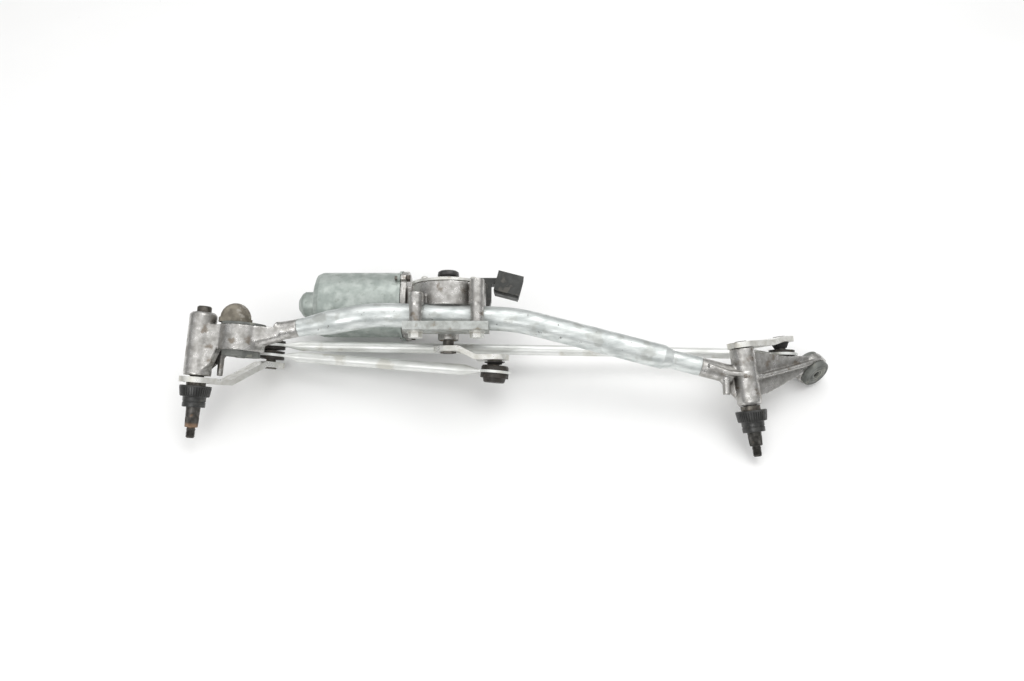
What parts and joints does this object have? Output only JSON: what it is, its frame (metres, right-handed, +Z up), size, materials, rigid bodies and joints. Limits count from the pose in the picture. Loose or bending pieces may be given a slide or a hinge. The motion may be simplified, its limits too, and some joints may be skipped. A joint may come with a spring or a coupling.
{
  "type": "windshield wiper assembly",
  "caption": "Windshield wiper linkage assembly with a bent tube frame, gear motor, crank, two links and two leaning spindles with black splash caps",
  "frame": {"origin": "centre of the bounding box's lowest face, where the assembly lies on a table", "axes": "+Z up, +X from the left spindle to the right one, -Y towards the wiper arms' side"},
  "size_m": [0.5996, 0.1856, 0.1114],
  "materials": {
    "zinc_tube": "galvanised, dull",
    "cast_aluminium": "as cast, dirty",
    "sintered_bronze": "sintered",
    "dark_steel": "oiled, dark",
    "rubber": "matt",
    "zinc_steel": "zinc plated",
    "black_plastic": "moulded",
    "zinc_yoke": "matt zinc",
    "ferrite": "sintered",
    "grey_plastic": "moulded",
    "brass": "tinned",
    "copper": "turned",
    "white_plastic": "moulded"
  },
  "bodies": {
    "frame": {"frame_tube": "zinc_tube", "left_housing": "cast_aluminium", "right_housing": "cast_aluminium", "left_spindle_bushes": "sintered_bronze", "right_spindle_bushes": "sintered_bronze", "left_end_cap": "dark_steel", "left_mount_grommet": "rubber", "left_mount_dome": "rubber", "left_mount_sleeve": "zinc_steel", "right_mount_grommet": "rubber", "right_mount_sleeve": "zinc_steel", "motor_bracket": "zinc_steel", "motor_bolts": "zinc_steel", "gear_case": "cast_aluminium", "gear_case_cover": "zinc_steel", "cover_plug": "black_plastic", "cover_screws": "zinc_steel", "output_shaft_bush": "sintered_bronze", "motor_yoke": "zinc_yoke", "yoke_screws": "dark_steel", "magnets": "ferrite", "rear_bearing": "sintered_bronze", "brush_holder": "black_plastic", "brushes": "ferrite", "connector_arm": "grey_plastic", "connector_housing": "grey_plastic", "connector_terminals": "brass"},
    "armature": {"armature_shaft": "dark_steel", "armature_core": "dark_steel", "commutator": "copper"},
    "crank": {"worm_wheel": "white_plastic", "output_shaft": "dark_steel", "motor_crank": "zinc_steel", "crank_nut": "dark_steel"},
    "drive_link": {"drive_link_rod": "zinc_steel", "drive_link_lever_socket": "black_plastic", "drive_link_crank_socket": "black_plastic", "crank_ball_stud": "dark_steel", "crank_ball_boot": "rubber"},
    "left_spindle": {"left_spindle": "dark_steel", "left_lever": "zinc_steel", "left_lever_ball_stud": "dark_steel", "left_retaining_washer": "dark_steel", "left_splash_cap": "black_plastic"},
    "long_link": {"long_link_rod": "zinc_steel", "long_link_left_socket": "black_plastic", "long_link_right_socket": "black_plastic"},
    "right_spindle": {"right_spindle": "dark_steel", "right_lever": "zinc_steel", "right_lever_ball_stud": "dark_steel", "right_stud_boot": "rubber", "right_retaining_washer": "dark_steel", "right_splash_cap": "black_plastic"}
  },
  "joints": [
    {"name": "crank_turn", "type": "hinge", "parent": "frame", "child": "crank", "pos_m": [-0.0604, -0.0165, 0.02447], "axis": [0, 0.848, 0.5299], "range_deg": [0, 180]},
    {"name": "left_spindle_swing", "type": "hinge", "parent": "frame", "child": "left_spindle", "pos_m": [-0.2844, -0.03001, 0.04609], "axis": [0.0732, 0.8458, 0.5285], "range_deg": [0, 80.05]},
    {"name": "right_spindle_swing", "type": "hinge", "parent": "frame", "child": "right_spindle", "pos_m": [0.2096, -0.03001, 0.04609], "axis": [-0.1201, 0.8419, 0.5261], "range_deg": [0, 81.04]},
    {"name": "drive_link_pivot", "type": "hinge", "parent": "left_spindle", "child": "drive_link", "pos_m": [-0.23161, 0.01281, 0.01982], "axis": [-0.0586, -0.8372, -0.5438], "range_deg": [0, 80.9]},
    {"name": "long_link_pivot", "type": "hinge", "parent": "left_spindle", "child": "long_link", "pos_m": [-0.23093, 0.02068, 0.02474], "axis": [-0.0531, -0.8372, -0.5444], "range_deg": [0, 80.13]},
    {"name": "armature_turn", "type": "hinge", "parent": "frame", "child": "armature", "pos_m": [-0.1894, 0.05983, 0.03856], "axis": [1, 0, 0], "range_deg": [0, 7921]}
  ],
  "couplings": [
    {"joint": "left_spindle_swing", "follows": "crank_turn", "ratio": 0.44444},
    {"joint": "right_spindle_swing", "follows": "crank_turn", "ratio": 0.44992},
    {"joint": "drive_link_pivot", "follows": "crank_turn", "ratio": 0.44919},
    {"joint": "long_link_pivot", "follows": "crank_turn", "ratio": 0.4449},
    {"joint": "armature_turn", "follows": "crank_turn", "ratio": 44}
  ]
}
